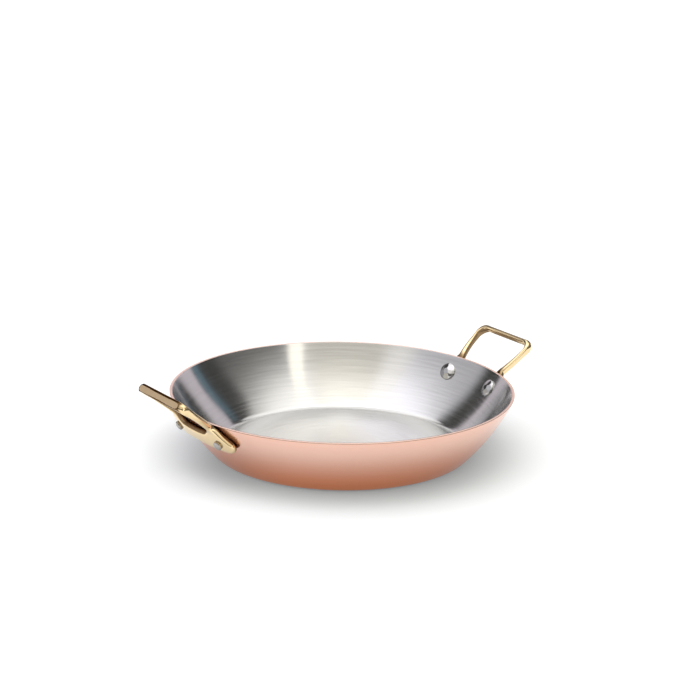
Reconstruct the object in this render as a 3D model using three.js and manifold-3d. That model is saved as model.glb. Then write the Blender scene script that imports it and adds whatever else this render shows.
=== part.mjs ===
// Two-handled serving pan: a copper shell with a bonded steel lining and two
// cast brass loop handles, each held to the sloping wall by a pair of rivets.
// Millimetres, +Z up. The origin is the centre of the base underside, and the
// handles lie along X.

import * as THREE from 'three';
import { mergeVertices } from 'three/addons/utils/BufferGeometryUtils.js';
import Module from 'manifold-3d';

const wasm = await Module();
wasm.setup();

const { degToRad, lerp, smoothstep } = THREE.MathUtils;

// Pan body, measured on the outside of the copper
const RIM_RADIUS = 120;
const RIM_HEIGHT = 44;
const BASE_RADIUS = 88.4; // where the wall's curve would meet the table
const WALL_BOW = 2.5; // how far the wall swells outwards between base and rim
const BASE_FILLET = 9;
const COPPER_THICKNESS = 1.8;
const STEEL_THICKNESS = 0.2;
const BOND_GAP = 0.03;

// Rivets, set square to the wall
const RIVET_DROP = 11.6; // below the rim, on the outside of the wall
const RIVET_SPACING = 49;
const SHAFT_RADIUS = 2.5;
const INNER_HEAD_RADIUS = 6.2;
const INNER_HEAD_EDGE = 0.7; // upright band below the dome
const INNER_HEAD_DOME = 1.9;
const OUTER_HEAD_RADIUS = 3.3;
const OUTER_HEAD_EDGE = 1.5;
const OUTER_HEAD_DOME = 0.6;
const FIT_GAP = 0.3; // kept between riveted pieces

// Handle, seen from the side: it follows the wall, then leans outwards
const FOOT_THICKNESS = 4.5;
const LEG_THICKNESS = 4.7;
const GRIP_THICKNESS = 6.2;
const GRIP_FLARE = 14; // length over which the legs thicken towards the grip
const FOOT_RISE = 8; // from the rivets up to where the legs leave the wall
const BEND_RADIUS = 20;
const LEG_TILT = degToRad(41); // above level
const LEG_LENGTH = 26.4; // straight run from the bend to the middle of the grip

// Handle, laid flat: half widths from its middle line, heights from the rivets
const GRIP_HALF_WIDTH = 29.2;
const GRIP_BAR = 3.7;
const GRIP_CORNER = 6;
const OPENING_CORNER = 6;
const LEG_WIDTH = 3.5; // below the grip's corners
const WAIST_WIDTH = 5; // of a leg at the waist
const WAIST_HALF_WIDTH = 25; // outer edges of the legs where they pass the rim
const WAIST_RISE = 15;
const FOOT_OVERHANG = 13.4; // rivet to the tip of a foot
const FOOT_DROP = 5.8;
const FOOT_TIP_RADIUS = 4.6;
const FOOT_SLOPE = degToRad(40); // fall of a foot's upper edge towards its tip
const BRIDGE_TOP = 6; // crossbar between the feet, at the middle line
const BRIDGE_DROP = 4.4;
const CROTCH_REACH = 6; // round of the opening between leg and bridge
const EDGE_RADIUS = 1.3;

// Facets
const SHELL_SEGMENTS = 64;
const FILLET_STEPS = 2;
const WALL_STEPS = 5;
const RIVET_SEGMENTS = 16;
const DOME_STEPS = 3;
const GRIP_STEPS = 3;
const CORNER_STEPS = 5;
const LEG_STEPS = 4;
const FOOT_STEPS = 11;
const BRIDGE_STEPS = 5;
const EDGE_STEPS = 2;
const FACE_STEPS = 2;

const COPPER = { color: '#c98566', roughness: 0.28, metalness: 1 };
const STEEL = { color: '#b9b7b4', roughness: 0.35, metalness: 1 };
const BRASS = { color: '#d9b26a', roughness: 0.18, metalness: 1 };
const POLISHED_STEEL = { color: '#d3d2d0', roughness: 0.12, metalness: 1 };

const point = (x, y) => new THREE.Vector2(x, y);

// The wall's outside is an arc from the base corner to the rim. Every layer is
// an arc about the same centre, so each layer keeps an even thickness.
const wall = (() => {
  const run = RIM_RADIUS - BASE_RADIUS;
  const chord = Math.hypot(run, RIM_HEIGHT);
  const radius = (chord * chord) / (8 * WALL_BOW) + WALL_BOW / 2;
  const back = (radius - WALL_BOW) / chord;
  const centre = point(
    (RIM_RADIUS + BASE_RADIUS) / 2 - back * RIM_HEIGHT,
    RIM_HEIGHT / 2 + back * run,
  );
  return { radius, centre };
})();

// Angle about the wall's centre at which a layer reaches a height
function wallAngle(height, inset) {
  return Math.asin((height - wall.centre.y) / (wall.radius - inset));
}

function wallPoint(angle, inset) {
  const reach = wall.radius - inset;
  return point(wall.centre.x + reach * Math.cos(angle), wall.centre.y + reach * Math.sin(angle));
}

// One face of a layer, from the axis along the floor and up to the rim
function layerFace(inset) {
  const reach = wall.radius - BASE_FILLET;
  const drop = wall.centre.y - BASE_FILLET;
  const floorRadius = wall.centre.x + Math.sqrt(reach * reach - drop * drop);
  const footAngle = -Math.asin(drop / reach);
  const bend = BASE_FILLET - inset;
  const face = [point(0, inset)];
  for (let i = 0; i < FILLET_STEPS; i += 1) {
    const angle = lerp(-Math.PI / 2, footAngle, i / FILLET_STEPS);
    face.push(point(floorRadius + bend * Math.cos(angle), BASE_FILLET + bend * Math.sin(angle)));
  }
  for (let i = 0; i <= WALL_STEPS; i += 1) {
    const angle = lerp(footAngle, wallAngle(RIM_HEIGHT, inset), i / WALL_STEPS);
    face.push(wallPoint(angle, inset));
  }
  return face;
}

// Turns a profile of radius and height about the Z axis
function turned(profile, segments) {
  return new THREE.LatheGeometry(profile, segments).rotateX(Math.PI / 2);
}

function panLayer(outerInset, innerInset) {
  const profile = [...layerFace(outerInset), ...layerFace(innerInset).reverse()];
  return turned(profile, SHELL_SEGMENTS);
}

function toSolid(geometry) {
  const bare = geometry.clone();
  bare.deleteAttribute('normal');
  bare.deleteAttribute('uv');
  const merged = mergeVertices(bare);
  return new wasm.Manifold(new wasm.Mesh({
    numProp: 3,
    vertProperties: new Float32Array(merged.attributes.position.array),
    triVerts: new Uint32Array(merged.index.array),
  }));
}

function toGeometry(solid) {
  const mesh = solid.getMesh();
  const geometry = new THREE.BufferGeometry();
  geometry.setAttribute('position', new THREE.BufferAttribute(mesh.vertProperties, 3));
  geometry.setIndex(new THREE.BufferAttribute(mesh.triVerts, 1));
  geometry.computeVertexNormals();
  return geometry;
}

// Layers met on the way out along a rivet, from the wall's outer face
const steelInset = COPPER_THICKNESS + BOND_GAP;
const wallThickness = steelInset + STEEL_THICKNESS;
const footFront = FIT_GAP + FOOT_THICKNESS;

const seatAngle = wallAngle(RIM_HEIGHT - RIVET_DROP, 0);
const seat = wallPoint(seatAngle, 0);
const rivetAzimuth = Math.asin(RIVET_SPACING / 2 / seat.x);
const rivetAzimuths = [-rivetAzimuth, rivetAzimuth];

// Places a shape made along Z on the wall, with Z pointing square out of it
function onWall(azimuth) {
  const turn = new THREE.Matrix4().makeRotationZ(azimuth);
  const shift = new THREE.Matrix4().makeTranslation(seat.x, 0, seat.y);
  const lean = new THREE.Matrix4().makeRotationY(Math.PI / 2 - seatAngle);
  return turn.multiply(shift).multiply(lean);
}

// Domed rivet head from its seat to its crown, facing along Z or against it
function headProfile(radius, edge, dome, seatLevel, facing) {
  const profile = [point(radius, seatLevel)];
  for (let i = 0; i < DOME_STEPS; i += 1) {
    const angle = ((i / DOME_STEPS) * Math.PI) / 2;
    const level = edge + dome * Math.sin(angle);
    profile.push(point(radius * Math.cos(angle), seatLevel + facing * level));
  }
  profile.push(point(0, seatLevel + facing * (edge + dome)));
  return profile;
}

// The inner head stands off the wall by the depth of the wall's curve under it
function rivet() {
  const curveDepth = (INNER_HEAD_RADIUS * INNER_HEAD_RADIUS) / (2 * seat.x);
  const innerSeat = -(wallThickness + curveDepth + FIT_GAP);
  const outerSeat = footFront + FIT_GAP;
  return turned([
    ...headProfile(INNER_HEAD_RADIUS, INNER_HEAD_EDGE, INNER_HEAD_DOME, innerSeat, -1).reverse(),
    point(SHAFT_RADIUS, innerSeat),
    point(SHAFT_RADIUS, outerSeat),
    ...headProfile(OUTER_HEAD_RADIUS, OUTER_HEAD_EDGE, OUTER_HEAD_DOME, outerSeat, 1),
  ], RIVET_SEGMENTS);
}

// Clears a hole for each rivet
function drilled(geometry, azimuths) {
  const radius = SHAFT_RADIUS + FIT_GAP;
  const reach = 2 * (wallThickness + footFront);
  const cutter = [point(0, -reach), point(radius, -reach), point(radius, reach), point(0, reach)];
  let solid = toSolid(geometry);
  for (const azimuth of azimuths) {
    const bore = turned(cutter, RIVET_SEGMENTS).applyMatrix4(onWall(azimuth));
    solid = solid.subtract(toSolid(bore));
  }
  return toGeometry(solid);
}

// Side view of a handle. At a rise above the rivets it gives the middle of the
// metal, as radius and level, and the angle that the outer face looks towards.
const footMiddle = FIT_GAP + FOOT_THICKNESS / 2;
const footCurve = wall.radius + footMiddle;
const footRadius = wallPoint(seatAngle, -footMiddle).x;
const footReach = footRadius * rivetAzimuth + FOOT_OVERHANG;
const leaveAngle = seatAngle + FOOT_RISE / footCurve;
const leave = wallPoint(leaveAngle, -footMiddle);
const tiltAngle = LEG_TILT - Math.PI / 2;
const bendRise = FOOT_RISE + BEND_RADIUS * (leaveAngle - tiltAngle);
const gripRise = bendRise + LEG_LENGTH;

function sideView(rise) {
  if (rise <= FOOT_RISE) {
    const angle = seatAngle + rise / footCurve;
    return { middle: wallPoint(angle, -footMiddle), angle };
  }
  const angle = leaveAngle - (Math.min(rise, bendRise) - FOOT_RISE) / BEND_RADIUS;
  const straight = Math.max(rise - bendRise, 0);
  const middle = point(
    leave.x + BEND_RADIUS * (Math.cos(leaveAngle) - Math.cos(angle)) - straight * Math.sin(angle),
    leave.y + BEND_RADIUS * (Math.sin(leaveAngle) - Math.sin(angle)) + straight * Math.cos(angle),
  );
  return { middle, angle };
}

function thicknessAt(rise) {
  const toLeg = smoothstep(rise, FOOT_RISE, bendRise);
  const toGrip = smoothstep(rise, gripRise - GRIP_FLARE, gripRise);
  return lerp(lerp(FOOT_THICKNESS, LEG_THICKNESS, toLeg), GRIP_THICKNESS, toGrip);
}

// Bends a point of the flat handle into place: the feet are wrapped round the
// wall, and the grip stays straight
function bent(across, rise, out) {
  const { middle, angle } = sideView(rise);
  const radius = middle.x + out * Math.cos(angle);
  const wrap = 1 - smoothstep(rise, FOOT_RISE, gripRise);
  const azimuth = across / footRadius;
  return new THREE.Vector3(
    lerp(radius, radius * Math.cos(azimuth), wrap),
    lerp(across, radius * Math.sin(azimuth), wrap),
    middle.y + out * Math.sin(angle),
  );
}

const line = (from, to) => new THREE.LineCurve(from, to);
const round = (from, corner, to) => new THREE.QuadraticBezierCurve(from, corner, to);

function arc(centre, radius, from, to) {
  return new THREE.ArcCurve(centre.x, centre.y, radius, from, to, true);
}

// Outer edge of a foot, from the leg's waist round the tip to its lower edge
function footEdge(waist, tip) {
  const tangency = Math.PI / 2 - FOOT_SLOPE;
  const tipArc = arc(tip, FOOT_TIP_RADIUS, tangency, -Math.PI / 2);
  const shoulder = tipArc.getPoint(0);
  const corner = point(waist.x, shoulder.y + (shoulder.x - waist.x) * Math.tan(FOOT_SLOPE));
  const edge = new THREE.CurvePath();
  edge.add(round(waist, corner, shoulder));
  edge.add(tipArc);
  return edge;
}

// Right half of the flat handle, from the grip's middle down to the bridge's.
// Each run pairs a stretch of the opening's edge with the outer edge facing it.
function halfRuns() {
  const openingTop = gripRise - GRIP_BAR / 2;
  const crown = gripRise + GRIP_BAR / 2;
  const openingHalf = GRIP_HALF_WIDTH - LEG_WIDTH;
  const inside = point(openingHalf - OPENING_CORNER, openingTop - OPENING_CORNER);
  const outside = point(GRIP_HALF_WIDTH - GRIP_CORNER, crown - GRIP_CORNER);
  const waist = point(WAIST_HALF_WIDTH, WAIST_RISE);
  const innerWaist = point(WAIST_HALF_WIDTH - WAIST_WIDTH, WAIST_RISE);
  const legLean = (openingHalf - innerWaist.x) / (inside.y - WAIST_RISE);
  const corner = point(innerWaist.x - legLean * (WAIST_RISE - BRIDGE_TOP), BRIDGE_TOP);
  const crotch = point(corner.x - CROTCH_REACH, BRIDGE_TOP);
  const tip = point(footReach - FOOT_TIP_RADIUS, FOOT_TIP_RADIUS - FOOT_DROP);
  return [
    {
      steps: GRIP_STEPS,
      inner: line(point(0, openingTop), point(inside.x, openingTop)),
      outer: line(point(0, crown), point(outside.x, crown)),
    },
    {
      steps: CORNER_STEPS,
      inner: arc(inside, OPENING_CORNER, Math.PI / 2, 0),
      outer: arc(outside, GRIP_CORNER, Math.PI / 2, 0),
    },
    {
      steps: LEG_STEPS,
      inner: line(point(openingHalf, inside.y), innerWaist),
      outer: line(point(GRIP_HALF_WIDTH, outside.y), waist),
    },
    {
      steps: FOOT_STEPS,
      inner: round(innerWaist, corner, crotch),
      outer: footEdge(waist, tip),
    },
    {
      steps: BRIDGE_STEPS,
      inner: line(crotch, point(0, BRIDGE_TOP)),
      outer: round(point(tip.x, -FOOT_DROP), point(tip.x / 2, -FOOT_DROP), point(0, -BRIDGE_DROP)),
    },
  ];
}

// Facing points of the two edges, all the way round the handle
function outlinePairs() {
  const runs = halfRuns();
  const half = runs.flatMap(({ steps, inner, outer }) => (
    Array.from({ length: steps }, (_, i) => [inner.getPoint(i / steps), outer.getPoint(i / steps)])
  ));
  const { inner, outer } = runs.at(-1);
  const bottom = [inner.getPoint(1), outer.getPoint(1)];
  const mirrored = half.slice(1).reverse().map((pair) => pair.map(({ x, y }) => point(-x, y)));
  return [...half, bottom, ...mirrored];
}

// Rounded rectangle: the bar's cross-section, across its width and through it
function barSection(halfWidth, halfThickness) {
  const radius = Math.min(EDGE_RADIUS, halfWidth, halfThickness);
  const flat = halfWidth - radius;
  const section = [];
  for (let corner = 0; corner < 4; corner += 1) {
    const sideAcross = corner === 0 || corner === 3 ? 1 : -1;
    const sideOut = corner < 2 ? 1 : -1;
    for (let i = 0; i <= EDGE_STEPS; i += 1) {
      const angle = ((corner + i / EDGE_STEPS) * Math.PI) / 2;
      section.push(point(
        sideAcross * flat + radius * Math.cos(angle),
        sideOut * (halfThickness - radius) + radius * Math.sin(angle),
      ));
    }
    const faceFollows = corner % 2 === 0;
    for (let i = 1; faceFollows && i < FACE_STEPS; i += 1) {
      section.push(point(sideAcross * lerp(flat, -flat, i / FACE_STEPS), sideOut * halfThickness));
    }
  }
  return section;
}

function handle() {
  const pairs = outlinePairs();
  const sections = pairs.map(([inner, outer]) => {
    const middle = inner.clone().lerp(outer, 0.5);
    const across = outer.clone().sub(inner).normalize();
    const section = barSection(inner.distanceTo(outer) / 2, thicknessAt(middle.y) / 2);
    return section.map(({ x, y }) => {
      const flat = middle.clone().addScaledVector(across, x);
      return bent(flat.x, flat.y, y);
    });
  });
  const stations = sections.length;
  const around = sections[0].length;
  const index = [];
  for (let i = 0; i < stations; i += 1) {
    const here = i * around;
    const next = ((i + 1) % stations) * around;
    for (let j = 0; j < around; j += 1) {
      const k = (j + 1) % around;
      index.push(here + j, here + k, next + j, here + k, next + k, next + j);
    }
  }
  const geometry = new THREE.BufferGeometry().setFromPoints(sections.flat());
  geometry.setIndex(index);
  return drilled(geometry, rivetAzimuths);
}

function piece(name, geometry, look) {
  const mesh = new THREE.Mesh(geometry, new THREE.MeshStandardMaterial(look));
  mesh.name = name;
  return mesh;
}

// A handle with its two rivets, turned about the pan's axis to its side
function handleGroup(side, turn) {
  const group = new THREE.Group();
  group.add(piece(`${side}_handle`, handle(), BRASS));
  for (const azimuth of rivetAzimuths) {
    const end = Math.sin(azimuth + turn) < 0 ? 'front' : 'rear';
    const mesh = piece(`${side}_${end}_rivet`, rivet(), POLISHED_STEEL);
    mesh.applyMatrix4(onWall(azimuth));
    group.add(mesh);
  }
  group.rotation.z = turn;
  return group;
}

const pan = new THREE.Group();
const bores = rivetAzimuths.flatMap((azimuth) => [azimuth, azimuth + Math.PI]);
pan.add(piece('copper_shell', drilled(panLayer(0, COPPER_THICKNESS), bores), COPPER));
pan.add(piece('steel_lining', drilled(panLayer(steelInset, wallThickness), bores), STEEL));
pan.add(handleGroup('right', 0));
pan.add(handleGroup('left', Math.PI));

export default pan;
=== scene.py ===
"""Looks of the two-handled serving pan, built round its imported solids."""

import math

import bmesh
import bpy
from mathutils import Matrix, Vector


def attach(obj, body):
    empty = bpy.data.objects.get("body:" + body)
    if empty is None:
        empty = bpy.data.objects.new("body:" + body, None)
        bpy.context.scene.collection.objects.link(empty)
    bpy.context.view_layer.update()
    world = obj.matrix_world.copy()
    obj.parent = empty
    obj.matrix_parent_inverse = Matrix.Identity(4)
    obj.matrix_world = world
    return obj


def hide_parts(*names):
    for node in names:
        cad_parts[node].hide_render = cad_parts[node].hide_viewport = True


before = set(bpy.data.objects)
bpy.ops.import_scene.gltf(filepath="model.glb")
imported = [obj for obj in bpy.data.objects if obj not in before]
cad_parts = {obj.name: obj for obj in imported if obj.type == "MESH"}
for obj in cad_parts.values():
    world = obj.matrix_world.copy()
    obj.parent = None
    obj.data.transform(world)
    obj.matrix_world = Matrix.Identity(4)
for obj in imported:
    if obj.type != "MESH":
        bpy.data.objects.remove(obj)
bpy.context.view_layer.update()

MM = 0.001

# Pan body in millimetres, as in the solids
RIM_RADIUS = 120.0
RIM_HEIGHT = 44.0
BASE_RADIUS = 88.4
WALL_BOW = 2.5
BASE_FILLET = 9.0
COPPER_THICKNESS = 1.8
STEEL_THICKNESS = 0.2
BOND_GAP = 0.03
COPPER_LIP = 0.5  # rounding of the edges of the copper's rim
LINING_LIP = 0.06

# Rivets
RIVET_DROP = 11.6
RIVET_SPACING = 49.0
SHAFT_RADIUS = 2.5
INNER_HEAD = {"radius": 6.2, "edge": 0.75, "dome": 2.0}
OUTER_HEAD = {"radius": 3.3, "edge": 1.3, "dome": 1.05}
FIT_GAP = 0.3
SEAT_GAP = 0.05
FLAT_DEPTH = 0.24  # how deep a hammer blow flattens an inner head
RING_BLOWS = 6  # blows round the one in the middle
MIDDLE_REACH = 0.06  # of the blow in the middle, as a share of the head's radius
RING_REACH = 0.6
BLOW_START = 3  # turns the blows differently on each rivet
WOBBLE_RATE = 2.6  # how fast the unevenness changes from blow to blow
UNEVEN = {"angle": 0.22, "reach": 0.05, "depth": 0.3}

# Handle from the side
FOOT_THICKNESS = 4.5
LEG_THICKNESS = 4.7
GRIP_THICKNESS = 6.2
GRIP_FLARE = 14.0
FOOT_RISE = 8.0
BEND_RADIUS = 20.0
LEG_TILT = math.radians(41)
LEG_LENGTH = 26.4

# Handle laid flat
GRIP_HALF_WIDTH = 29.2
GRIP_BAR = 3.7
GRIP_CORNER = 6.0
OPENING_CORNER = 6.0
LEG_WIDTH = 3.5
WAIST_WIDTH = 5.0
WAIST_HALF_WIDTH = 25.0
WAIST_RISE = 15.0
FOOT_OVERHANG = 13.4
FOOT_DROP = 5.8
FOOT_TIP_RADIUS = 4.6
FOOT_SLOPE = math.radians(40)
BRIDGE_TOP = 6.0
BRIDGE_DROP = 4.4
CROTCH_REACH = 6.0
EDGE_RADIUS = 1.3
FOOT_EDGE_RADIUS = 2.0
GRIP_EDGE = (1.5, 2.6)  # rounding of the grip's outer edges, across the bar and through it
GRIP_INNER_EDGE = (2.1, 2.4)  # the same for its inner edges
FACET_DEPTH = 0.45  # how deep the flat on the grip's outer side is cut
FACET_TILT = math.radians(9)  # how far that flat looks down from the grip's middle plane
ON_FLAT = 0.002  # how near to the flat's plane a point must lie to belong to it
SHARP_ANGLE = math.radians(50)
CROWN = 0.14  # how far the bar's faces swell, as a share of its half size
FOOT_CROWN = 0.03

# Fineness of the meshes
SHELL_SEGMENTS = 288
FILLET_STEPS = 14
WALL_STEPS = 44
LIP_STEPS = 5
FLOOR_RINGS = 12
RIVET_SEGMENTS = 96
DOME_STEPS = 20
GRIP_STEPS = 16
CORNER_STEPS = 14
LEG_STEPS = 30
FOOT_STEPS = 48
BRIDGE_STEPS = 24
EDGE_STEPS = 10
FACE_STEPS = 4
CURVE_SAMPLES = 200
SLACK = 1e-9  # for sums of many lengths

# Camera, fitted to the pan's rim, base and rivets in a 700 pixel square frame
FRAME_PIXELS = 700.0
FOCAL_PIXELS = 2200.0
SENSOR_MM = 36.0
CAMERA_TURN = math.radians(34.2)
CAMERA_DROP = math.radians(16.18)
CAMERA_ROLL = math.radians(0.95)
CAMERA_DISTANCE = 1545.0
ORIGIN_PIXEL = (341.3, 448.7)


def lerp(a, b, t):
    return a + (b - a) * t


def smoothstep(value, low, high):
    t = min(max((value - low) / (high - low), 0.0), 1.0)
    return t * t * (3 - 2 * t)


# Wall of the pan: an arc about one centre, with each layer inset from it
RUN = RIM_RADIUS - BASE_RADIUS
CHORD = math.hypot(RUN, RIM_HEIGHT)
WALL_RADIUS = CHORD * CHORD / (8 * WALL_BOW) + WALL_BOW / 2
WALL_BACK = (WALL_RADIUS - WALL_BOW) / CHORD
WALL_CENTRE = (
    (RIM_RADIUS + BASE_RADIUS) / 2 - WALL_BACK * RIM_HEIGHT,
    RIM_HEIGHT / 2 + WALL_BACK * RUN,
)


def wall_angle(height, inset):
    return math.asin((height - WALL_CENTRE[1]) / (WALL_RADIUS - inset))


def wall_point(angle, inset):
    reach = WALL_RADIUS - inset
    return (WALL_CENTRE[0] + reach * math.cos(angle), WALL_CENTRE[1] + reach * math.sin(angle))


def layer_face(inset):
    """Profile of one face of a layer, from the axis along the floor and up to the rim."""
    reach = WALL_RADIUS - BASE_FILLET
    drop = WALL_CENTRE[1] - BASE_FILLET
    floor_radius = WALL_CENTRE[0] + math.sqrt(reach * reach - drop * drop)
    foot_angle = -math.asin(drop / reach)
    bend = BASE_FILLET - inset
    face = [(floor_radius * i / FLOOR_RINGS, inset) for i in range(FLOOR_RINGS)]
    for i in range(FILLET_STEPS):
        angle = lerp(-math.pi / 2, foot_angle, i / FILLET_STEPS)
        face.append((floor_radius + bend * math.cos(angle), BASE_FILLET + bend * math.sin(angle)))
    rim_angle = wall_angle(RIM_HEIGHT, inset)
    for i in range(WALL_STEPS + 1):
        face.append(wall_point(lerp(foot_angle, rim_angle, i / WALL_STEPS), inset))
    return face


def softened(before, corner, after, size):
    """Points of a small round in place of a corner of a profile."""
    c = Vector(corner)
    a = c + (Vector(before) - c).normalized() * size
    b = c + (Vector(after) - c).normalized() * size
    points = []
    for i in range(LIP_STEPS + 1):
        t = i / LIP_STEPS
        points.append(tuple(a * (1 - t) ** 2 + c * (2 * t * (1 - t)) + b * t * t))
    return points


def new_piece(name, vertices, faces):
    mesh = bpy.data.meshes.new(name)
    mesh.from_pydata([[v * MM for v in p] for p in vertices], [], faces)
    bm = bmesh.new()
    bm.from_mesh(mesh)
    bmesh.ops.recalc_face_normals(bm, faces=bm.faces)
    bm.to_mesh(mesh)
    bm.free()
    mesh.shade_smooth()
    piece = bpy.data.objects.new(name, mesh)
    bpy.context.scene.collection.objects.link(piece)
    return piece


def turned(name, profile, segments):
    """Turns a profile that starts and ends on the axis about Z."""
    vertices, rings = [], []
    for radius, height in profile:
        count = segments if radius > 0 else 1
        start = len(vertices)
        for i in range(count):
            angle = 2 * math.pi * i / segments
            vertices.append((radius * math.cos(angle), radius * math.sin(angle), height))
        rings.append([start + i % count for i in range(segments)])
    faces = []
    for low, high in zip(rings, rings[1:]):
        for i in range(segments):
            j = (i + 1) % segments
            corners = [low[i], low[j], high[j], high[i]]
            faces.append(list(dict.fromkeys(corners)))
    return new_piece(name, vertices, faces)


def pan_layer(name, outer_inset, inner_inset, edge):
    """A closed layer of the pan with a slightly rounded rim."""
    outer, inner = layer_face(outer_inset), layer_face(inner_inset)
    rim = softened(outer[-2], outer[-1], inner[-1], edge)
    rim += softened(outer[-1], inner[-1], inner[-2], edge)
    return turned(name, outer[:-1] + rim + inner[-2::-1], SHELL_SEGMENTS)


# Layers met on the way out along a rivet
STEEL_INSET = COPPER_THICKNESS + BOND_GAP
WALL_THICKNESS = STEEL_INSET + STEEL_THICKNESS
FOOT_FRONT = FIT_GAP + FOOT_THICKNESS
SEAT_ANGLE = wall_angle(RIM_HEIGHT - RIVET_DROP, 0)
SEAT = wall_point(SEAT_ANGLE, 0)
RIVET_AZIMUTH = math.asin(RIVET_SPACING / 2 / SEAT[0])


def on_wall(azimuth):
    """Places a shape made along Z on the wall, with Z square out of it."""
    lean = Matrix.Rotation(math.pi / 2 - SEAT_ANGLE, 4, "Y")
    shift = Matrix.Translation((SEAT[0] * MM, 0, SEAT[1] * MM))
    return Matrix.Rotation(azimuth, 4, "Z") @ shift @ lean


def head_profile(head, seat, facing):
    profile = [(head["radius"], seat)]
    for i in range(DOME_STEPS + 1):
        share = 1 - i / DOME_STEPS
        level = head["edge"] + head["dome"] * (1 - share * share)
        profile.append((head["radius"] * share, seat + facing * level))
    return profile


def hammered(piece, seat, start):
    """Flattens a rivet's inner head in patches, as blows of a hammer do."""
    radius, dome = INNER_HEAD["radius"], INNER_HEAD["dome"]
    base = seat - INNER_HEAD["edge"]
    bend = dome / radius ** 2
    blows = [(MIDDLE_REACH * radius, start, FLAT_DEPTH)]
    for i in range(RING_BLOWS):
        wobble = math.sin(WOBBLE_RATE * i + start)
        angle = start + 2 * math.pi * (i + UNEVEN["angle"] * wobble) / RING_BLOWS
        reach = radius * (RING_REACH + UNEVEN["reach"] * wobble)
        blows.append((reach, angle, FLAT_DEPTH * (1 + UNEVEN["depth"] * wobble)))
    for vertex in piece.data.vertices:
        place = vertex.co / MM
        if place.z > base:
            continue
        rise = base - place.z
        for reach, angle, depth in blows:
            spot = Vector((reach * math.cos(angle), reach * math.sin(angle)))
            flat = dome - bend * reach ** 2 - 2 * bend * spot.dot(place.xy - spot) - depth
            rise = min(rise, max(flat, 0.0))
        vertex.co.z = (base - rise) * MM


def rivet(name, azimuth):
    curve_depth = INNER_HEAD["radius"] ** 2 / (2 * SEAT[0])
    inner_seat = -(WALL_THICKNESS + curve_depth + SEAT_GAP)
    outer_seat = FOOT_FRONT + SEAT_GAP
    profile = head_profile(INNER_HEAD, inner_seat, -1)[::-1]
    profile += [(SHAFT_RADIUS, inner_seat), (SHAFT_RADIUS, outer_seat)]
    profile += head_profile(OUTER_HEAD, outer_seat, 1)
    piece = turned(name, profile, RIVET_SEGMENTS)
    hammered(piece, inner_seat, BLOW_START * azimuth)
    piece.data.transform(on_wall(azimuth))
    return piece


def drill(piece, azimuths):
    """Bores the rivet holes through a piece."""
    reach = 2 * (WALL_THICKNESS + FOOT_FRONT)
    radius = SHAFT_RADIUS + FIT_GAP
    profile = [(0.0, -reach), (radius, -reach), (radius, reach), (0.0, reach)]
    for azimuth in azimuths:
        cutter = turned("bore", profile, RIVET_SEGMENTS)
        cutter.data.transform(on_wall(azimuth))
        bore = piece.modifiers.new("bore", "BOOLEAN")
        bore.operation = "DIFFERENCE"
        bore.solver = "EXACT"
        bore.object = cutter
        graph = bpy.context.evaluated_depsgraph_get()
        drilled = bpy.data.meshes.new_from_object(piece.evaluated_get(graph))
        piece.modifiers.clear()
        old = piece.data
        piece.data = drilled
        bpy.data.meshes.remove(old)
        bpy.data.objects.remove(cutter)
    return piece


# Handle: a side view that follows the wall and then leans outwards
FOOT_MIDDLE = FIT_GAP + FOOT_THICKNESS / 2
FOOT_CURVE = WALL_RADIUS + FOOT_MIDDLE
FOOT_RADIUS = wall_point(SEAT_ANGLE, -FOOT_MIDDLE)[0]
FOOT_REACH = FOOT_RADIUS * RIVET_AZIMUTH + FOOT_OVERHANG
LEAVE_ANGLE = SEAT_ANGLE + FOOT_RISE / FOOT_CURVE
LEAVE = wall_point(LEAVE_ANGLE, -FOOT_MIDDLE)
TILT_ANGLE = LEG_TILT - math.pi / 2
BEND_RISE = FOOT_RISE + BEND_RADIUS * (LEAVE_ANGLE - TILT_ANGLE)
GRIP_RISE = BEND_RISE + LEG_LENGTH
FACET_RISE = GRIP_RISE + GRIP_BAR / 2 - FACET_DEPTH


def side_view(rise):
    """Middle of the metal at a rise above the rivets, and the angle its outer face looks to."""
    if rise <= FOOT_RISE:
        angle = SEAT_ANGLE + rise / FOOT_CURVE
        return wall_point(angle, -FOOT_MIDDLE), angle
    angle = LEAVE_ANGLE - (min(rise, BEND_RISE) - FOOT_RISE) / BEND_RADIUS
    straight = max(rise - BEND_RISE, 0.0)
    return (
        LEAVE[0] + BEND_RADIUS * (math.cos(LEAVE_ANGLE) - math.cos(angle)) - straight * math.sin(angle),
        LEAVE[1] + BEND_RADIUS * (math.sin(LEAVE_ANGLE) - math.sin(angle)) + straight * math.cos(angle),
    ), angle


def thickness_at(rise):
    to_leg = smoothstep(rise, FOOT_RISE, BEND_RISE)
    to_grip = smoothstep(rise, GRIP_RISE - GRIP_FLARE, GRIP_RISE)
    return lerp(lerp(FOOT_THICKNESS, LEG_THICKNESS, to_leg), GRIP_THICKNESS, to_grip)


def bent(across, rise, out):
    """Bends a point of the flat handle into place round the wall."""
    middle, angle = side_view(rise)
    radius = middle[0] + out * math.cos(angle)
    wrap = 1 - smoothstep(rise, FOOT_RISE, GRIP_RISE)
    azimuth = across / FOOT_RADIUS
    return (
        lerp(radius, radius * math.cos(azimuth), wrap),
        lerp(across, radius * math.sin(azimuth), wrap),
        middle[1] + out * math.sin(angle),
    )


def line(start, end):
    return lambda t: Vector((lerp(start[0], end[0], t), lerp(start[1], end[1], t)))


def arc(centre, radius, start, end):
    def at(t):
        angle = lerp(start, end, t)
        return Vector((centre[0] + radius * math.cos(angle), centre[1] + radius * math.sin(angle)))
    return at


def round_off(start, corner, end):
    a, b, c = Vector(start), Vector(corner), Vector(end)
    return lambda t: a * (1 - t) ** 2 + b * (2 * t * (1 - t)) + c * t * t


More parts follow.
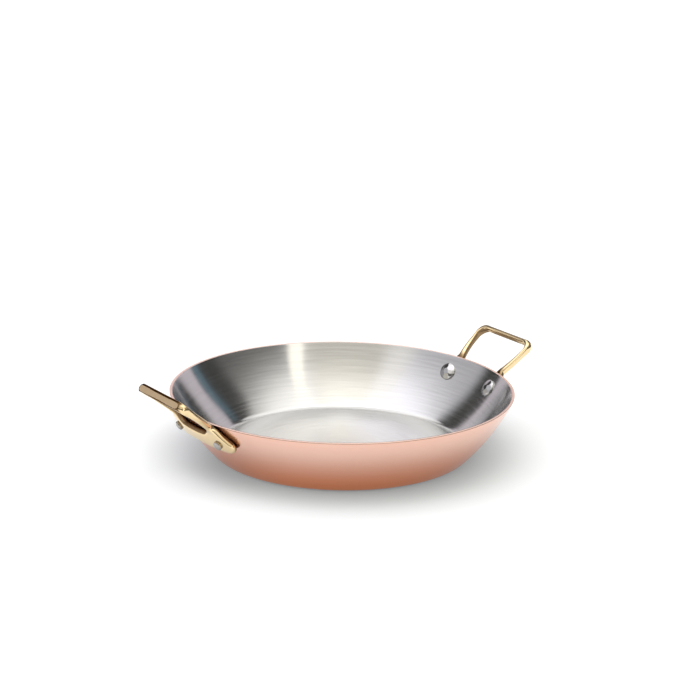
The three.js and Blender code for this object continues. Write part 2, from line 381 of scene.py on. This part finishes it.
def joined(*curves):
    """Curves end to end, at an even pace along their length."""
    points = [curve(i / CURVE_SAMPLES) for curve in curves for i in range(CURVE_SAMPLES + 1)]
    lengths = [0.0]
    for a, b in zip(points, points[1:]):
        lengths.append(lengths[-1] + (b - a).length)

    def at(t):
        goal = t * lengths[-1]
        i = next(k for k in range(1, len(points)) if lengths[k] >= goal - SLACK)
        step = lengths[i] - lengths[i - 1]
        share = (goal - lengths[i - 1]) / step if step > 0 else 0.0
        return points[i - 1].lerp(points[i], share)
    return at


def half_runs():
    """Right half of the flat handle: steps, opening's edge and outer edge of each run."""
    opening_top = GRIP_RISE - GRIP_BAR / 2
    crown = GRIP_RISE + GRIP_BAR / 2
    opening_half = GRIP_HALF_WIDTH - LEG_WIDTH
    inside = (opening_half - OPENING_CORNER, opening_top - OPENING_CORNER)
    outside = (GRIP_HALF_WIDTH - GRIP_CORNER, crown - GRIP_CORNER)
    waist = (WAIST_HALF_WIDTH, WAIST_RISE)
    inner_waist = (WAIST_HALF_WIDTH - WAIST_WIDTH, WAIST_RISE)
    leg_lean = (opening_half - inner_waist[0]) / (inside[1] - WAIST_RISE)
    inner_corner = (inner_waist[0] - leg_lean * (WAIST_RISE - BRIDGE_TOP), BRIDGE_TOP)
    crotch = (inner_corner[0] - CROTCH_REACH, BRIDGE_TOP)
    tip = (FOOT_REACH - FOOT_TIP_RADIUS, FOOT_TIP_RADIUS - FOOT_DROP)
    tip_arc = arc(tip, FOOT_TIP_RADIUS, math.pi / 2 - FOOT_SLOPE, -math.pi / 2)
    shoulder = tip_arc(0)
    corner = (waist[0], shoulder.y + (shoulder.x - waist[0]) * math.tan(FOOT_SLOPE))
    return [
        (
            GRIP_STEPS,
            line((0, opening_top), (inside[0], opening_top)),
            line((0, crown), (outside[0], crown)),
        ),
        (
            CORNER_STEPS,
            arc(inside, OPENING_CORNER, math.pi / 2, 0),
            arc(outside, GRIP_CORNER, math.pi / 2, 0),
        ),
        (
            LEG_STEPS,
            line((opening_half, inside[1]), inner_waist),
            line((GRIP_HALF_WIDTH, outside[1]), waist),
        ),
        (
            FOOT_STEPS,
            round_off(inner_waist, inner_corner, crotch),
            joined(round_off(waist, corner, shoulder), tip_arc),
        ),
        (
            BRIDGE_STEPS,
            line(crotch, (0, BRIDGE_TOP)),
            round_off((tip[0], -FOOT_DROP), (tip[0] / 2, -FOOT_DROP), (0, -BRIDGE_DROP)),
        ),
    ]


def bar_section(half_width, half_thickness, outer_edge, inner_edge, crown):
    """Section of a bar with crowned faces, across it and through it; two lengths round each edge."""
    def at(corner, angle):
        across = 1 if corner in (0, 3) else -1
        out = 1 if corner < 2 else -1
        wide, deep = outer_edge if across > 0 else inner_edge
        return (
            across * (half_width - wide) + wide * math.cos(angle),
            out * (half_thickness - deep) + deep * math.sin(angle),
        )

    section = []
    for corner in range(4):
        for i in range(EDGE_STEPS + 1):
            section.append(at(corner, (corner + i / EDGE_STEPS) * math.pi / 2))
        first, last = section[-1], at((corner + 1) % 4, (corner + 1) * math.pi / 2)
        for i in range(1, FACE_STEPS):
            share = i / FACE_STEPS
            section.append((lerp(first[0], last[0], share), lerp(first[1], last[1], share)))
    return [
        (x * (1 - crown * (y / half_thickness) ** 2), y * (1 - crown * (x / half_width) ** 2))
        for x, y in section
    ]


def crisp_flat(piece):
    """Keeps the edges of the grip's flat sharp."""
    look = Vector((math.cos(LEG_TILT - FACET_TILT), 0, math.sin(LEG_TILT - FACET_TILT)))
    level = look.dot(Vector(bent(0, FACET_RISE, 0)))

    def on_flat(face):
        return all(abs(look.dot(vertex.co) / MM - level) < ON_FLAT for vertex in face.verts)

    bm = bmesh.new()
    bm.from_mesh(piece.data)
    for edge in bm.edges:
        flats = [on_flat(face) for face in edge.link_faces]
        if any(flats) and not all(flats):
            edge.smooth = False
    bm.to_mesh(piece.data)
    bm.free()


def handle(name, turn):
    pairs = []
    for steps, inner, outer in half_runs():
        pairs += [(inner(i / steps), outer(i / steps)) for i in range(steps)]
    mirrored = [tuple(Vector((-p.x, p.y)) for p in pair) for pair in pairs[:0:-1]]
    pairs = pairs + [(inner(1), outer(1))] + mirrored
    vertices, around = [], 0
    for inner, outer in pairs:
        middle = (inner + outer) / 2
        across = (outer - inner).normalized()
        to_leg = smoothstep(middle.y, BRIDGE_TOP, WAIST_RISE)
        edge = lerp(FOOT_EDGE_RADIUS, EDGE_RADIUS, to_leg)
        crown = lerp(FOOT_CROWN, CROWN, to_leg)
        to_grip = smoothstep(middle.y, GRIP_RISE - GRIP_FLARE, GRIP_RISE)
        outer_edge = [lerp(edge, size, to_grip) for size in GRIP_EDGE]
        inner_edge = [lerp(edge, size, to_grip) for size in GRIP_INNER_EDGE]
        half_width, half_thickness = (outer - inner).length / 2, thickness_at(middle.y) / 2
        section = bar_section(half_width, half_thickness, outer_edge, inner_edge, crown)
        around = len(section)
        for x, y in section:
            flat = middle + across * x
            vertices.append(bent(flat.x, min(flat.y, FACET_RISE - y * math.tan(FACET_TILT)), y))
    faces = []
    for i in range(len(pairs)):
        here, after = i * around, (i + 1) % len(pairs) * around
        for j in range(around):
            k = (j + 1) % around
            faces.append((here + j, here + k, after + k, after + j))
    piece = drill(new_piece(name, vertices, faces), (-RIVET_AZIMUTH, RIVET_AZIMUTH))
    piece.data.set_sharp_from_angle(angle=SHARP_ANGLE)
    crisp_flat(piece)
    piece.data.transform(Matrix.Rotation(turn, 4, "Z"))
    return piece


# Node helpers
RISING, FALLING = (0.0, 1.0), (1.0, 0.0)
NOISE_SPREAD = (0.3, 0.7)  # where most of a noise lies
WIDE_SPREAD = (0.25, 0.75)
COLOUR_A, COLOUR_B, COLOUR_RESULT = 6, 7, 2  # sockets of the Mix node when it mixes colours


def put(tree, value, socket):
    """Links a socket, or sets a plain value."""
    if isinstance(value, bpy.types.NodeSocket):
        tree.links.new(value, socket)
    else:
        socket.default_value = value


def operated(tree, kind, operation, values):
    node = tree.nodes.new(kind)
    node.operation = operation
    for value, socket in zip(values, node.inputs):
        put(tree, value, socket)
    return node


def math_node(tree, operation, *values):
    return operated(tree, "ShaderNodeMath", operation, values).outputs[0]


def product(tree, a, b):
    return math_node(tree, "MULTIPLY", a, b)


def vector_node(tree, operation, *values):
    node = operated(tree, "ShaderNodeVectorMath", operation, values)
    return node.outputs["Value" if operation in ("LENGTH", "DOT_PRODUCT") else "Vector"]


def scaled(tree, vector, factor):
    node = operated(tree, "ShaderNodeVectorMath", "SCALE", [vector])
    node.inputs["Scale"].default_value = factor
    return node.outputs["Vector"]


def split_up(tree, vector):
    node = tree.nodes.new("ShaderNodeSeparateXYZ")
    put(tree, vector, node.inputs[0])
    return node.outputs


def combined(tree, **axes):
    node = tree.nodes.new("ShaderNodeCombineXYZ")
    for axis, value in axes.items():
        put(tree, value, node.inputs[axis])
    return node.outputs[0]


def remap(tree, value, source, target=RISING, smooth=False):
    """Maps one range onto another and holds it at the ends."""
    node = tree.nodes.new("ShaderNodeMapRange")
    node.interpolation_type = "SMOOTHSTEP" if smooth else "LINEAR"
    names = ("Value", "From Min", "From Max", "To Min", "To Max")
    for name, given in zip(names, (value, *source, *target)):
        put(tree, given, node.inputs[name])
    return node.outputs["Result"]


def rgba(r, g, b):
    return (r, g, b, 1.0)


def mix_colour(tree, share, a, b):
    """Mixes two colours, each a socket or three numbers."""
    node = tree.nodes.new("ShaderNodeMix")
    node.data_type = "RGBA"
    put(tree, share, node.inputs["Factor"])
    for colour, socket in ((a, COLOUR_A), (b, COLOUR_B)):
        put(tree, rgba(*colour) if isinstance(colour, tuple) else colour, node.inputs[socket])
    return node.outputs[COLOUR_RESULT]


def noise(tree, vector, scale, detail=2.0, roughness=0.5):
    node = tree.nodes.new("ShaderNodeTexNoise")
    put(tree, vector, node.inputs["Vector"])
    node.inputs["Scale"].default_value = scale
    node.inputs["Detail"].default_value = detail
    node.inputs["Roughness"].default_value = roughness
    return node.outputs["Fac"]


def bump(tree, height, strength, distance, below=None):
    node = tree.nodes.new("ShaderNodeBump")
    node.inputs["Strength"].default_value = strength
    node.inputs["Distance"].default_value = distance
    put(tree, height, node.inputs["Height"])
    if below is not None:
        put(tree, below, node.inputs["Normal"])
    return node.outputs["Normal"]


def object_place(tree):
    return tree.nodes.new("ShaderNodeTexCoord").outputs["Object"]


def object_normal(tree):
    return tree.nodes.new("ShaderNodeTexCoord").outputs["Normal"]


def from_axis(tree):
    """A point's offset from the pan's axis, the length of that offset and the point's height."""
    place = split_up(tree, object_place(tree))
    offset = combined(tree, X=place["X"], Y=place["Y"])
    return offset, vector_node(tree, "LENGTH", offset), place["Z"]


WALL_RATE = 0.514  # makes radius plus this share of height advance evenly up the wall


def turning_marks(tree, along, spacing):
    """Coordinates stretched round the pan's axis: marks of a spacing, in metres."""
    offset, radius, height = from_axis(tree)
    climb = math_node(tree, "MULTIPLY_ADD", height, WALL_RATE, radius)
    ring = scaled(tree, vector_node(tree, "NORMALIZE", offset), along)
    return vector_node(tree, "ADD", ring, combined(tree, Z=product(tree, climb, 1 / spacing)))


def wall_distance(tree):
    """How far a point lies outside the copper wall, in metres."""
    _, radius, height = from_axis(tree)
    side = combined(
        tree,
        X=math_node(tree, "SUBTRACT", radius, WALL_CENTRE[0] * MM),
        Y=math_node(tree, "SUBTRACT", height, WALL_CENTRE[1] * MM),
    )
    return math_node(tree, "SUBTRACT", vector_node(tree, "LENGTH", side), WALL_RADIUS * MM)


def handle_direction(tree, place, along_x, along_z):
    """A direction in the side view of whichever handle a point is on."""
    side = math_node(tree, "SIGN", split_up(tree, place)["X"])
    return combined(tree, X=product(tree, side, along_x), Z=along_z)


QUARTER_TURN = 0.25


def brushed_round(tree, shader, amount):
    """Stretches reflections along the wall, across marks that run round the axis."""
    tangent = tree.nodes.new("ShaderNodeTangent")
    tangent.direction_type = "RADIAL"
    tangent.axis = "Z"
    put(tree, tangent.outputs[0], shader.inputs["Tangent"])
    shader.inputs["Anisotropic"].default_value = amount
    shader.inputs["Anisotropic Rotation"].default_value = QUARTER_TURN


def metal(name):
    material = bpy.data.materials.new(name)
    material.use_nodes = True
    shader = material.node_tree.nodes["Principled BSDF"]
    shader.inputs["Metallic"].default_value = 1.0
    return material, material.node_tree, shader


# Copper: colours, heights in metres, ranges of the normal's upward part, and shares
COPPER = ((0.97, 0.60, 0.485), (0.985, 0.645, 0.53))
# painted warm reflection of the floor, deepening the copper towards its base
COPPER_PAINTED_BOUNCE = (1.0, 0.31, 0.125)
COPPER_STREAK = (0.85, 0.48, 0.36)
# painted highlight on the top of the lip
LIP_PAINTED_HIGHLIGHT = (0.98, 0.75, 0.65)
# painted line of shade on the lip's outer edge
LIP_PAINTED_SHADE = (0.30, 0.16, 0.10)
BOUNCE_HEIGHTS = (0.002, 0.036)
RIM_HEIGHTS = (0.0424, 0.0430)
OFF_BASE = (-0.99, -0.9)
LIP_FACING = (0.85, 0.95)
LINE_STARTS = (-0.45, -0.2)
LINE_ENDS = (0.7, 0.9)
LINE_SHARE = (0.0, 0.9)
STREAK_SHARE = (0.0, 0.15)
COPPER_ROUGHNESS = (0.17, 0.25)
LIP_ROUGHER = 0.3


def copper_material():
    """Brushed copper, with a painted warm reflection that deepens it towards the base, a painted highlight on
    its lip and a painted line of shade on the lip's outer edge.
    """
    material, tree, shader = metal("copper")
    blotch = noise(tree, object_place(tree), scale=22.0, detail=3.0)
    streak = noise(tree, turning_marks(tree, along=2.0, spacing=0.0011), scale=1.0, detail=3.0)
    height = split_up(tree, object_place(tree))["Z"]
    upward = split_up(tree, object_normal(tree))["Z"]
    # where the painted warm reflection deepens the copper; kept off the underside
    low = remap(tree, height, BOUNCE_HEIGHTS, FALLING, smooth=True)
    at_rim = remap(tree, height, RIM_HEIGHTS)
    # painted highlight on the lip's upward face, which is also made rougher
    lip = product(tree, at_rim, remap(tree, upward, LIP_FACING))
    # painted line of shade on the lip's outer rounding
    edge = product(tree, remap(tree, upward, LINE_STARTS, LINE_SHARE), remap(tree, upward, LINE_ENDS, FALLING))

    tone = mix_colour(tree, blotch, *COPPER)
    tone = mix_colour(tree, product(tree, low, remap(tree, upward, OFF_BASE)), tone, COPPER_PAINTED_BOUNCE)
    tone = mix_colour(tree, remap(tree, streak, NOISE_SPREAD, STREAK_SHARE), tone, COPPER_STREAK)
    tone = mix_colour(tree, lip, tone, LIP_PAINTED_HIGHLIGHT)
    tone = mix_colour(tree, product(tree, at_rim, edge), tone, LIP_PAINTED_SHADE)
    put(tree, tone, shader.inputs["Base Color"])
    polish = remap(tree, streak, WIDE_SPREAD, COPPER_ROUGHNESS)
    put(tree, math_node(tree, "MULTIPLY_ADD", lip, LIP_ROUGHER, polish), shader.inputs["Roughness"])
    put(tree, bump(tree, streak, strength=0.05, distance=0.00008), shader.inputs["Normal"])
    brushed_round(tree, shader, amount=0.45)
    return material


LINING = ((0.60, 0.595, 0.585), (0.68, 0.675, 0.665))
LINING_ROUGHNESS = (0.14, 0.20)


def lining_material():
    """Steel with fine circular brushing."""
    material, tree, shader = metal("brushed_steel")
    marks = turning_marks(tree, along=2.2, spacing=0.0017)
    coarse = noise(tree, marks, scale=1.0, detail=4.0, roughness=0.6)
    fine = noise(tree, turning_marks(tree, along=5.0, spacing=0.0005), scale=1.0)
    tone = mix_colour(tree, remap(tree, coarse, NOISE_SPREAD), *LINING)
    put(tree, tone, shader.inputs["Base Color"])
    put(tree, remap(tree, coarse, WIDE_SPREAD, LINING_ROUGHNESS), shader.inputs["Roughness"])
    waves = bump(tree, coarse, strength=0.009, distance=0.0002)
    put(tree, bump(tree, fine, strength=0.02, distance=0.00008, below=waves), shader.inputs["Normal"])
    brushed_round(tree, shader, amount=0.85)
    return material


# Brass: colours, how squarely the metal faces a direction, lengths in metres, and shares
BRASS = ((0.88, 0.67, 0.385), (0.925, 0.735, 0.45))
BRASS_FLAT = (1.0, 0.75, 0.46)
# painted shade on the faces inside the loop
BRASS_INSIDE_SHADE = (0.28, 0.18, 0.095)
# painted darkness: contact shade by the wall and a dark reflection round the grip's flat
BRASS_PAINTED_DARK = (0.10, 0.05, 0.018)
FULL_EDGE_TINT = (1.0, 1.0, 1.0)
# dims reflections where shade is painted
SHADED_EDGE_TINT = (0.10, 0.06, 0.03)
INSIDE_FACING = (0.5, 0.8)  # towards the middle of the loop
INSIDE_SHARE = (0.0, 0.9)
CONTACT_SHADE_DISTANCES = (0.0012, 0.0040)  # from the wall
CONTACT_SHADE_SHARE = (0.9, 0.0)
FLAT_FACING = (0.985, 0.995)  # out of the grip's flat
FLAT_EDGE = (0.975, 0.985)
LOWER_TO_UPPER = (-0.1, 0.1)  # upwards along the flat
BORDER_FROM = (0.3, 0.35)  # out of the flat, on the bar's lower and upper side
BORDER_SOFT = 0.2
BORDER_SHARE = (0.0, 0.95)
SIDEWAYS = (0.45, 0.7)  # along the grip, at its corners
GRIP_HEIGHTS = (0.052, 0.056)
BRASS_ROUGHNESS = (0.05, 0.10)
PAINTED_DARK_ROUGHER = 0.12
INSIDE_ROUGHER = 0.4
FLAT_ROUGHER = 0.28
INSIDE_GLOSS_SHADE = 0.6


def brass_material():
    """Polished cast brass, satin in the loop and on the grip's flat; painted shade darkens the loop's inner
    faces and the metal by the wall, and a painted dark reflection runs round the flat.
    """
    material, tree, shader = metal("brass")
    place, normal = object_place(tree), object_normal(tree)
    wave = noise(tree, place, scale=95.0)
    grain = noise(tree, place, scale=900.0)

    def facing(direction):
        return vector_node(tree, "DOT_PRODUCT", direction, normal)

    middle = bent(0.0, (BRIDGE_TOP + GRIP_RISE) / 2, 0.0)
    centre = handle_direction(tree, place, middle[0] * MM, middle[2] * MM)
    inward = vector_node(tree, "NORMALIZE", vector_node(tree, "SUBTRACT", centre, place))
    # faces inside the loop get painted shade as well as satin roughness
    inside = remap(tree, facing(inward), INSIDE_FACING, INSIDE_SHARE, smooth=True)
    # painted contact shade where the foot meets the wall
    contact_shade = remap(tree, wall_distance(tree), CONTACT_SHADE_DISTANCES, CONTACT_SHADE_SHARE, smooth=True)

    look = LEG_TILT - FACET_TILT
    end_on = facing(handle_direction(tree, place, math.cos(look), math.sin(look)))
    upper = facing(handle_direction(tree, place, -math.sin(look), math.cos(look)))
    facet = remap(tree, end_on, FLAT_FACING)
    # painted dark reflection along the grip's flat, on the bar's lower and upper side
    reach = remap(tree, upper, LOWER_TO_UPPER, BORDER_FROM)
    border_from = (reach, math_node(tree, "ADD", reach, BORDER_SOFT))
    flat_dark_reflection = remap(tree, end_on, border_from, BORDER_SHARE, smooth=True)
    flat_dark_reflection = product(tree, flat_dark_reflection, remap(tree, end_on, FLAT_EDGE, FALLING))
    aside = math_node(tree, "ABSOLUTE", split_up(tree, normal)["Y"])
    flat_dark_reflection = product(tree, flat_dark_reflection, remap(tree, aside, SIDEWAYS, FALLING))
    flat_dark_reflection = product(tree, flat_dark_reflection, remap(tree, split_up(tree, place)["Z"], GRIP_HEIGHTS))
    # painted contact shade and painted dark reflection together
    painted_dark = math_node(tree, "MAXIMUM", contact_shade, flat_dark_reflection)

    tone = mix_colour(tree, wave, *BRASS)
    tone = mix_colour(tree, facet, tone, BRASS_FLAT)
    tone = mix_colour(tree, inside, tone, BRASS_INSIDE_SHADE)
    put(tree, mix_colour(tree, painted_dark, tone, BRASS_PAINTED_DARK), shader.inputs["Base Color"])
    polish = remap(tree, grain, NOISE_SPREAD, BRASS_ROUGHNESS)
    for mask, rougher in ((painted_dark, PAINTED_DARK_ROUGHER), (inside, INSIDE_ROUGHER), (facet, FLAT_ROUGHER)):
        polish = math_node(tree, "MULTIPLY_ADD", mask, rougher, polish)
    put(tree, polish, shader.inputs["Roughness"])
    put(tree, bump(tree, wave, strength=0.12, distance=0.0006), shader.inputs["Normal"])
    # painted shade in the reflections, on the painted dark parts and inside the loop
    shaded_gloss = math_node(tree, "MAXIMUM", painted_dark, product(tree, inside, INSIDE_GLOSS_SHADE))
    put(tree, mix_colour(tree, shaded_gloss, FULL_EDGE_TINT, SHADED_EDGE_TINT), shader.inputs["Specular Tint"])
    return material


RIVET = ((0.54, 0.535, 0.53), (0.62, 0.615, 0.61))
RIVET_OUTSIDE = (0.42, 0.405, 0.385)
OUTSIDE_DISTANCES = (0.0, 0.001)  # from the wall, in metres
RIVET_ROUGHNESS = (0.06, 0.12)


def rivet_material():
    """Polished steel, a little darker on the heads outside the pan."""
    material, tree, shader = metal("polished_steel")
    place = object_place(tree)
    dents = noise(tree, place, scale=260.0, detail=1.0)
    grain = noise(tree, place, scale=1500.0)
    outside = remap(tree, wall_distance(tree), OUTSIDE_DISTANCES)
    tone = mix_colour(tree, outside, mix_colour(tree, grain, *RIVET), RIVET_OUTSIDE)
    put(tree, tone, shader.inputs["Base Color"])
    put(tree, remap(tree, grain, NOISE_SPREAD, RIVET_ROUGHNESS), shader.inputs["Roughness"])
    put(tree, bump(tree, dents, strength=0.2, distance=0.0006), shader.inputs["Normal"])
    return material


FLOOR = ((0.86, 0.88, 0.89), (0.87, 0.89, 0.90))
FLOOR_GLOW = (1.0, 1.0, 1.0)
FLOOR_GLOW_STRENGTH = 0.23
FLOOR_ROUGHNESS = 0.9


def floor_material():
    """Matt, nearly even pale floor that glows faintly, so that its shadows stay soft."""
    material = bpy.data.materials.new("pale_floor")
    material.use_nodes = True
    tree = material.node_tree
    shader = tree.nodes["Principled BSDF"]
    cloud = noise(tree, object_place(tree), scale=9.0, detail=3.0)
    put(tree, mix_colour(tree, cloud, *FLOOR), shader.inputs["Base Color"])
    shader.inputs["Emission Color"].default_value = rgba(*FLOOR_GLOW)
    shader.inputs["Emission Strength"].default_value = FLOOR_GLOW_STRENGTH
    shader.inputs["Roughness"].default_value = FLOOR_ROUGHNESS
    shader.inputs["Specular IOR Level"].default_value = 0.0
    return material


def dress(piece, material, node):
    piece.data.materials.clear()
    piece.data.materials.append(material)
    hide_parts(node)
    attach(piece, "root")


copper, lining_steel = copper_material(), lining_material()
brass, rivet_steel = brass_material(), rivet_material()

bores = [turn + side * RIVET_AZIMUTH for turn in (0, math.pi) for side in (-1, 1)]
shell = drill(pan_layer("pan_copper", 0, COPPER_THICKNESS, COPPER_LIP), bores)
dress(shell, copper, "copper_shell")
lining = drill(pan_layer("pan_lining", STEEL_INSET, WALL_THICKNESS, LINING_LIP), bores)
dress(lining, lining_steel, "steel_lining")

for side, turn in (("right", 0.0), ("left", math.pi)):
    dress(handle(f"handle_{side}", turn), brass, f"{side}_handle")
    for azimuth in (-RIVET_AZIMUTH, RIVET_AZIMUTH):
        end = "front" if math.sin(turn + azimuth) < 0 else "rear"
        head = rivet(f"rivet_{side}_{end}", turn + azimuth)
        dress(head, rivet_steel, f"{side}_{end}_rivet")

# Floor, in metres
FLOOR_HALF = 8.0
FLOOR_LEVEL = -0.0003  # just under the base
floor_mesh = bpy.data.meshes.new("floor")
floor_mesh.from_pydata(
    [(x * FLOOR_HALF, y * FLOOR_HALF, FLOOR_LEVEL) for x, y in ((-1, -1), (1, -1), (1, 1), (-1, 1))],
    [], [(0, 1, 2, 3)],
)
floor = bpy.data.objects.new("floor", floor_mesh)
bpy.context.scene.collection.objects.link(floor)
floor_mesh.materials.append(floor_material())


# The ceiling: its tint, and its light by height above level in degrees
CEILING = (
    (1.0, 0.995, 0.985),
    ((38, 0.75), (43, 0.95), (48, 1.3), (52, 1.5), (58, 1.5), (64, 1.2), (77, 1.15), (84, 2.3)),
)
# To the left, to the right, in front and front left: middle, half width and softness in degrees, then the same
SECTORS = (
    (-85.0, 45.0, 14.0, (0.985, 0.975, 1.03),
     ((0, 0.5), (20, 0.62), (30, 0.7), (36, 0.88), (41, 1.02), (46, 1.35), (52, 1.6), (66, 1.75), (78, 2.2))),
    (86.0, 45.0, 14.0, (1.0, 0.985, 0.95),
     ((0, 0.14), (24, 0.16), (30, 0.22), (36, 0.34), (41, 0.55), (46, 0.92), (52, 1.38), (60, 1.6),
      (78, 2.2))),
    (-5.0, 40.0, 16.0, (1.0, 0.965, 0.88),
     ((0, 0.1), (17, 0.14), (25, 0.75), (34, 0.84), (40, 0.7), (46, 0.87), (52, 1.15), (58, 1.42),
      (66, 1.68), (78, 2.2))),
    (-46.0, 10.0, 10.0, (1.0, 0.98, 0.95),
     ((0, 0.12), (17, 0.18), (26, 0.95), (33, 1.08), (41, 1.1), (46, 1.35), (52, 1.5), (60, 1.65),
      (78, 2.2))),
)
# Upright panels: middle, half width, softness, lean, top and its softness, light
DARK_GAP = (172.3, 70.3, 6.0, 0.0, 41.5, 1.5, (0.07, 0.07, 0.068))  # round the screen
BLUISH_STRIP = (124.0, 3.4, 1.5, 0.0, 33.0, 3.0, (0.13, 0.21, 0.26))  # in that gap
STRIP_LIGHT = (19.5, 6.5, 2.0, 0.5, 62.0, 6.0, (1.75, 1.7, 1.55))  # tall, in front to the right
# Screen behind: middle, half width and top as shares of its distance, softness
SCREEN = (176.0, 1.11, 0.80, 0.05)
SCREEN_LIGHT = (0.72, 0.66, 0.71)
SCREEN_SIDE = 0.05  # how far ahead a direction must point to meet the screen
ZENITH = 90.0
HALF_TURN = 180.0


def studio():
    """Soft studio light all round: a bright ceiling, a pale screen behind, darker sides and a strip light."""
    world = bpy.data.worlds.new("studio")
    bpy.context.scene.world = world
    world.use_nodes = True
    tree = world.node_tree
    turn = tree.nodes.new("ShaderNodeVectorRotate")
    turn.rotation_type = "Z_AXIS"
    turn.inputs["Angle"].default_value = CAMERA_TURN
    put(tree, tree.nodes.new("ShaderNodeTexCoord").outputs["Generated"], turn.inputs["Vector"])
    way = split_up(tree, turn.outputs[0])
    to_degrees = HALF_TURN / math.pi
    height = product(tree, math_node(tree, "ARCSINE", way["Z"]), to_degrees)
    ahead = product(tree, way["Y"], -1.0)
    around = product(tree, math_node(tree, "ARCTAN2", way["X"], ahead), to_degrees)

    def below(value, edge, soft):
        return remap(tree, value, (edge - soft, edge + soft), FALLING, smooth=True)

    def near(centre, half, soft, lean=0.0):
        """Mask round a direction; a lean shifts it sideways with height."""
        place = math_node(tree, "MULTIPLY_ADD", height, -lean, around) if lean else around
        away = math_node(tree, "PINGPONG", math_node(tree, "SUBTRACT", place, centre), HALF_TURN)
        return below(away, half, soft)

    def flat_screen(centre, half, top, soft):
        """Mask of an upright flat screen that faces the pan, sized by its distance."""
        sine, cosine = math.sin(math.radians(centre)), math.cos(math.radians(centre))
        depth = math_node(tree, "ADD", product(tree, way["X"], sine), product(tree, ahead, cosine))
        aside = math_node(tree, "SUBTRACT", product(tree, way["X"], cosine), product(tree, ahead, sine))
        across = math_node(tree, "ABSOLUTE", math_node(tree, "DIVIDE", aside, depth))
        up = math_node(tree, "DIVIDE", way["Z"], depth)
        facing = math_node(tree, "GREATER_THAN", depth, SCREEN_SIDE)
        return product(tree, facing, product(tree, below(across, half, soft), below(up, top, soft)))

    def climb(tint, stops):
        """Light that changes with height."""
        ramp = tree.nodes.new("ShaderNodeValToRGB")
        put(tree, math_node(tree, "DIVIDE", height, ZENITH), ramp.inputs[0])
        elements = ramp.color_ramp.elements
        while len(elements) < len(stops):
            elements.new(0.5)
        for element, (degrees, level) in zip(elements, stops):
            element.position = degrees / ZENITH
            element.color = rgba(*(level * t for t in tint))
        return ramp.outputs[0]

    def with_panel(light, centre, half, soft, lean, top, top_soft, colour):
        mask = product(tree, near(centre, half, soft, lean), below(height, top, top_soft))
        return mix_colour(tree, mask, light, colour)

    light = climb(*CEILING)
    for centre, half, soft, tint, stops in SECTORS:
        light = mix_colour(tree, near(centre, half, soft), light, climb(tint, stops))
    light = with_panel(light, *DARK_GAP)
    light = with_panel(light, *BLUISH_STRIP)
    light = mix_colour(tree, flat_screen(*SCREEN), light, SCREEN_LIGHT)
    light = with_panel(light, *STRIP_LIGHT)
    put(tree, light, tree.nodes["Background"].inputs["Color"])


studio()

# Camera
forward = Vector((0, math.cos(CAMERA_DROP), -math.sin(CAMERA_DROP)))
level_up = Vector((0, math.sin(CAMERA_DROP), math.cos(CAMERA_DROP)))
roll = Matrix.Rotation(-CAMERA_ROLL, 3, forward)
right, up = roll @ Vector((1, 0, 0)), roll @ level_up
toward = Vector((
    (ORIGIN_PIXEL[0] - FRAME_PIXELS / 2) / FOCAL_PIXELS,
    -(ORIGIN_PIXEL[1] - FRAME_PIXELS / 2) / FOCAL_PIXELS,
    1.0,
)).normalized() * CAMERA_DISTANCE * MM
back = Matrix.Rotation(-CAMERA_TURN, 3, "Z")
lens = bpy.data.cameras.new("camera")
lens.sensor_width = SENSOR_MM
lens.lens = SENSOR_MM * FOCAL_PIXELS / FRAME_PIXELS
camera = bpy.data.objects.new("camera", lens)
bpy.context.scene.collection.objects.link(camera)
place = -(right * toward.x + up * toward.y + forward * toward.z)
axes = Matrix((back @ right, back @ up, back @ -forward)).transposed()
camera.matrix_world = Matrix.Translation(back @ place) @ axes.to_4x4()
bpy.context.scene.camera = camera

bpy.context.scene.view_settings.view_transform = "Standard"
bpy.context.scene.cycles.caustics_reflective = False
